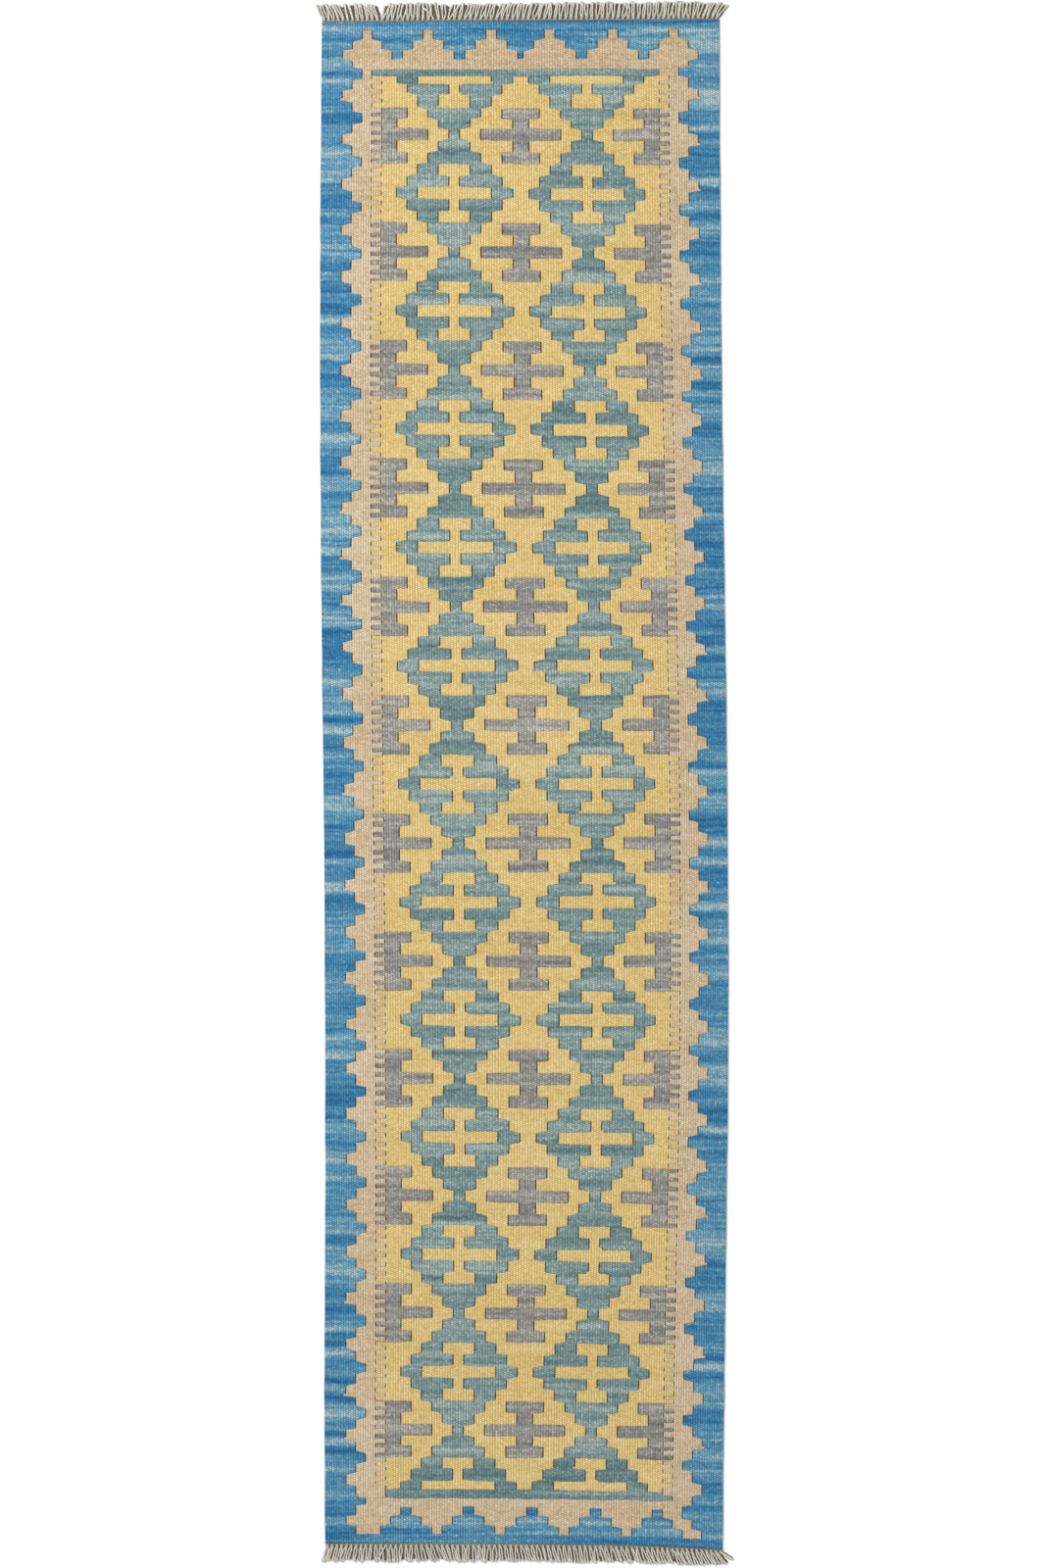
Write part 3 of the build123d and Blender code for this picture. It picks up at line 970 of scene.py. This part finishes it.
def fringe(end):
    """Free cords at one end. Each knot lets out two on top and two thinner ones under them. The cords'
    sides and undersides, their ply grooves and their starts at the knot get painted shade, and the lower
    cords are painted almost wholly in it.
    """
    sign = 1 if end == "far" else -1
    rng = np.random.default_rng(41 if end == "far" else 42)
    rib = np.tile(np.arange(rib_count), 2)
    upper = np.repeat([1.0, 0.0], rib_count)
    knot = rib // 2
    side = np.where(rib % 2 == 0, -1.0, 1.0)
    x, y = in_space(2 * knot + 1.0, 0 if end == "far" else line_count)
    places, leans = zip(*fringe_lean[end])
    knot_lean = np.interp((2 * np.arange(rib_count // 2) + 1) / (rib_count / 2) - 1, places, leans)
    knot_lean = knot_lean + rng.normal(0, lean_unevenness, rib_count // 2)
    lean = knot_lean[knot] + rng.normal(0, lean_unevenness, len(rib))
    lift = np.zeros(len(rib))
    for stray, stray_lean, rise in stray_cords[end]:
        lean[stray] = stray_lean
        lift[stray] = rise
    length = fringe_length * rng.uniform(shortest_cord, 1.0, len(rib)) / np.sqrt(1 + lean**2)
    length = length * (1 - under_shortening * (1 - upper)) * (1 - 0.12 * np.clip(lean - 1, 0, 1))
    rings, sides = 24, 10
    s = np.linspace(0, 1, rings)[None, :]
    under = np.where((side > 0)[:, None], under_spread[1], under_spread[0])
    spread_from, spread_to = np.where((upper > 0)[:, None], upper_spread, under).T[..., None]
    side = np.where(upper > 0, side, 1.0)
    spread = spread_from + (spread_to - spread_from) * np.clip(s * 2.6, 0, 1) ** 0.8
    bend = rng.normal(0, bow_unevenness, (len(rib), 1)) * np.sin(math.pi * s)
    bend = bend + rng.normal(0, wave_unevenness, (len(rib), 1)) * np.sin(2 * math.pi * s)
    path = np.zeros((len(rib), rings, 3))
    path[..., 0] = x[:, None] + side[:, None] * spread + (lean * length)[:, None] * s**1.15 + bend
    start = y + sign * (twining_length + 0.5 * knot_length)
    path[..., 1] = start[:, None] + sign * (length[:, None] + 0.5 * knot_length) * s
    level = np.where(upper > 0, upper_middle, under_middle)[:, None]
    level = level + rng.uniform(0, upper_unevenness, (len(rib), 1)) * upper[:, None]
    settled = knot_middle + (level - knot_middle) * np.clip(s * 2.5, 0, 1)
    path[..., 2] = settled + lift[:, None] * np.sin(math.pi * s) ** 0.5
    angle = ring_angles(sides)[None, None, :]
    twist = (rng.uniform(0, 1, (len(rib), 1, 1)) + s[..., None] * cord_turns) * 2 * math.pi
    ply = 0.5 + 0.5 * np.cos(2 * angle - twist)
    frayed = np.clip((s[..., None] - frayed_from) / frayed_over, 0, 1)
    rounded = np.sqrt(np.clip((1.02 - s[..., None]) / 0.06, 0.08, 1))
    radius = np.where(upper > 0, cord_radius, under_radius)[:, None, None]
    radius = radius * (1 - ply_depth * (1 - frayed) * (1 - ply)) * rounded
    wide = np.where(upper > 0, 1.0, under_widening)[:, None, None]
    wide = wide + frayed * rng.uniform(*fray_widening, (len(rib), 1, 1))
    flat = np.where(upper > 0, 1.0, under_flattening)[:, None, None] - 0.2 * frayed
    reach = np.stack([radius * wide * np.cos(angle), radius * flat * np.sin(angle)], -1)
    # Painted light: full on the top of each cord, painted shade on its sides and underside, in the ply
    # grooves and near the knot
    top_lit = np.clip(np.sin(angle) * 1.7 - 0.5, 0, 1)
    painted_light = top_lit * (0.75 + 0.25 * ply) * np.where(upper > 0, 1.0, under_painted_light)[:, None, None]
    painted_light = painted_light * (0.6 + 0.4 * np.clip(s[..., None] * 8, 0, 1))
    return tubes(f"cords_{end}", tube_rings(path, reach), painted_light, materials["cord"])


knot_half_width = 3.8 * MM
knot_half_height = 1.8 * MM
knot_unevenness = 0.3 * MM


def knots(end):
    """One small flattened knot for each pair of warps, so wide that they almost touch. Each is painted
    with painted shade, deepest on its sides, underside and ends.
    """
    sign = 1 if end == "far" else -1
    rng = np.random.default_rng(51 if end == "far" else 52)
    count = rib_count // 2
    x, y = in_space(2 * np.arange(count) + 1.0, 0 if end == "far" else line_count)
    rings, sides = 9, 12
    s = np.linspace(-1, 1, rings)
    path = np.zeros((count, rings, 3))
    path[..., 0] = x[:, None] + rng.normal(0, knot_unevenness, (count, 1))
    path[..., 1] = y[:, None] + sign * (0.7 * twining_length + knot_length * (0.5 + 0.6 * s))
    path[..., 2] = knot_middle
    angle = ring_angles(sides)[None, None, :]
    bulge = np.sqrt(np.clip(1 - (0.97 * s) ** 2, 0.03, 1))[None, :, None]
    wraps = 1 - 0.07 * np.cos(s * 3 * math.pi)[None, :, None]
    size = bulge * wraps * rng.uniform(0.9, 1.1, (count, 1, 1))
    across, high = knot_half_width * size, knot_half_height * size
    reach = np.stack([across * np.cos(angle), high * np.sin(angle)], -1)
    # Painted light: a little painted shade on top, deeper towards the sides and ends, and full painted
    # shade underneath
    painted_light = 0.85 * np.clip(np.sin(angle) * 1.6 - 0.7, 0, 1) * np.broadcast_to(bulge, reach.shape[:3])
    return tubes(f"wraps_{end}", tube_rings(path, reach), painted_light, materials["cord"])


strand_radius = 0.85 * MM
strand_middle = 1.9 * MM
strand_swing = (0.6 * MM, 0.8 * MM)


def twining(end):
    """Two strands twisted round each other across the warps, between the last weft and the knots."""
    sign = 1 if end == "far" else -1
    rings = rib_count * 6 + 1
    rib = np.linspace(0.1, rib_count - 0.1, rings)
    x, y = in_space(rib, 0 if end == "far" else line_count)
    path = np.zeros((2, rings, 3))
    for strand in range(2):
        turn = rib / 2 * 2 * math.pi + strand * math.pi
        path[strand, :, 0] = x
        path[strand, :, 1] = y + sign * (0.45 * twining_length + strand_swing[0] * np.cos(turn))
        path[strand, :, 2] = strand_middle + strand_swing[1] * np.sin(turn)
    angle = np.broadcast_to(ring_angles(6), (2, rings, 6))
    reach = strand_radius * np.stack([np.cos(angle), np.sin(angle)], -1)
    # The twining is mixed a tenth of the way towards the painted shade colour
    return tubes(f"twine_{end}", tube_rings(path, reach), 0.9, materials["twining"])


warp_radius = 0.8 * MM


def warps():
    """The cords inside the weft, in stretches."""
    rings, sides = 16, 6
    angle = np.broadcast_to(ring_angles(sides), (rib_count, rings, sides))
    reach = warp_radius * np.stack([np.cos(angle), np.sin(angle)], -1)
    cuts = np.linspace(0, line_count, stretches + 1)
    for number, (top, bottom) in enumerate(zip(cuts[:-1], cuts[1:])):
        lines = np.linspace(top, bottom, rings)
        x, y = in_space(np.arange(rib_count)[:, None] + 0.5, lines[None, :])
        path = np.stack([x, y, np.full_like(x, thickness / 2)], -1)
        # The warps inside the weft are mixed a fifth of the way towards the painted shade colour
        yield tubes(f"inner_warps_{number + 1}", tube_rings(path, reach), 0.8, materials["cord"])


# ---------------------------------------------------------------- assembly

slots = {kind: f"{kind}_weft" for kind in dyes}
slots["cord"] = "warp_cord"
slots["twining"] = "twining_yarn"


def node_of(name):
    """CAD node that a woven piece stands for."""
    if name.startswith(("yellow_cross", "yellow_half_cross")):
        return f"yellow_crosses_{'left' if '_left_' in name else 'right'}"
    if name.startswith("grey_cross"):
        return f"grey_crosses_{name.split('_')[2]}"
    if name.startswith(("teal", "blue_band", "tan_band")):
        return name
    return name.rsplit("_", 1)[0]


def settle(piece, node, slot):
    """Attaches a piece to the root body and hides the CAD node it stands for; its slot is not used."""
    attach(piece, "root")
    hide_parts(node)


trim = {}
for end in ("far", "near"):
    trim[end] = [fringe(end), knots(end), twining(end)]
    for piece, node, slot in zip(
        trim[end],
        (f"fringe_{end}", f"knots_{end}", f"twining_{end}"),
        ("cord", "cord", "twining"),
    ):
        settle(piece, node, slot)
for piece in warps():
    settle(piece, "warps", "cord")

for name in names:
    if not (owner == names.index(name)).any():
        continue
    piece, flat, area = woven_piece(name)
    kind = name.split("_")[0]
    piece.data.materials.append(materials[kind])
    settle(piece, node_of(name), kind)
    with_pieces = trim[name.split("_")[2]] if name.startswith("blue_band") else []
    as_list(with_pieces)


# ---------------------------------------------------------------- floor, light and camera

floor_size = 30.0
floor_drop = 0.4 * MM
world_strength = 0.62
lens = 100.0
sensor = 36.0
camera_shift = 2.8 * MM

# The picture's height over the woven length
picture_share = 1.02967


def floor():
    """Plain pale floor."""
    bpy.ops.mesh.primitive_plane_add(size=floor_size, location=(0, 0, -floor_drop))
    plane = bpy.context.object
    plane.name = "floor"
    material, nodes, links, shader = new_material("floor_white")
    shader.inputs["Base Color"].default_value = (0.92, 0.92, 0.92, 1)
    shader.inputs["Roughness"].default_value = 0.9
    shader.inputs["Specular IOR Level"].default_value = 0.1
    plane.data.materials.append(material)


def area_light(name, place, target, size, power):
    """Square soft light that looks at a point."""
    light = bpy.data.lights.new(name, "AREA")
    light.size = size
    light.energy = power
    obj = bpy.data.objects.new(name, light)
    bpy.context.scene.collection.objects.link(obj)
    obj.location = place
    direction = [t - p for t, p in zip(target, place)]
    obj.rotation_euler = mathutils.Vector(direction).to_track_quat("-Z", "Y").to_euler()


floor()
world = bpy.data.worlds.new("studio")
bpy.context.scene.world = world
world.use_nodes = True
world.node_tree.nodes["Background"].inputs[0].default_value = (1, 1, 1, 1)
world.node_tree.nodes["Background"].inputs[1].default_value = world_strength
area_light("key", (-4.5, 2.5, 4.0), (0, 0, 0), 3.0, 420)
area_light("fill", (4.0, -3.0, 5.0), (0, 0, 0), 4.0, 120)

camera_data = bpy.data.cameras.new("camera")
camera_data.lens = lens
camera_data.sensor_width = sensor
camera_data.clip_end = 100
camera = bpy.data.objects.new("camera", camera_data)
bpy.context.scene.collection.objects.link(camera)
camera.location = (0, -camera_shift, woven_length * picture_share * lens / sensor)
bpy.context.scene.camera = camera
bpy.context.scene.view_settings.view_transform = "Standard"
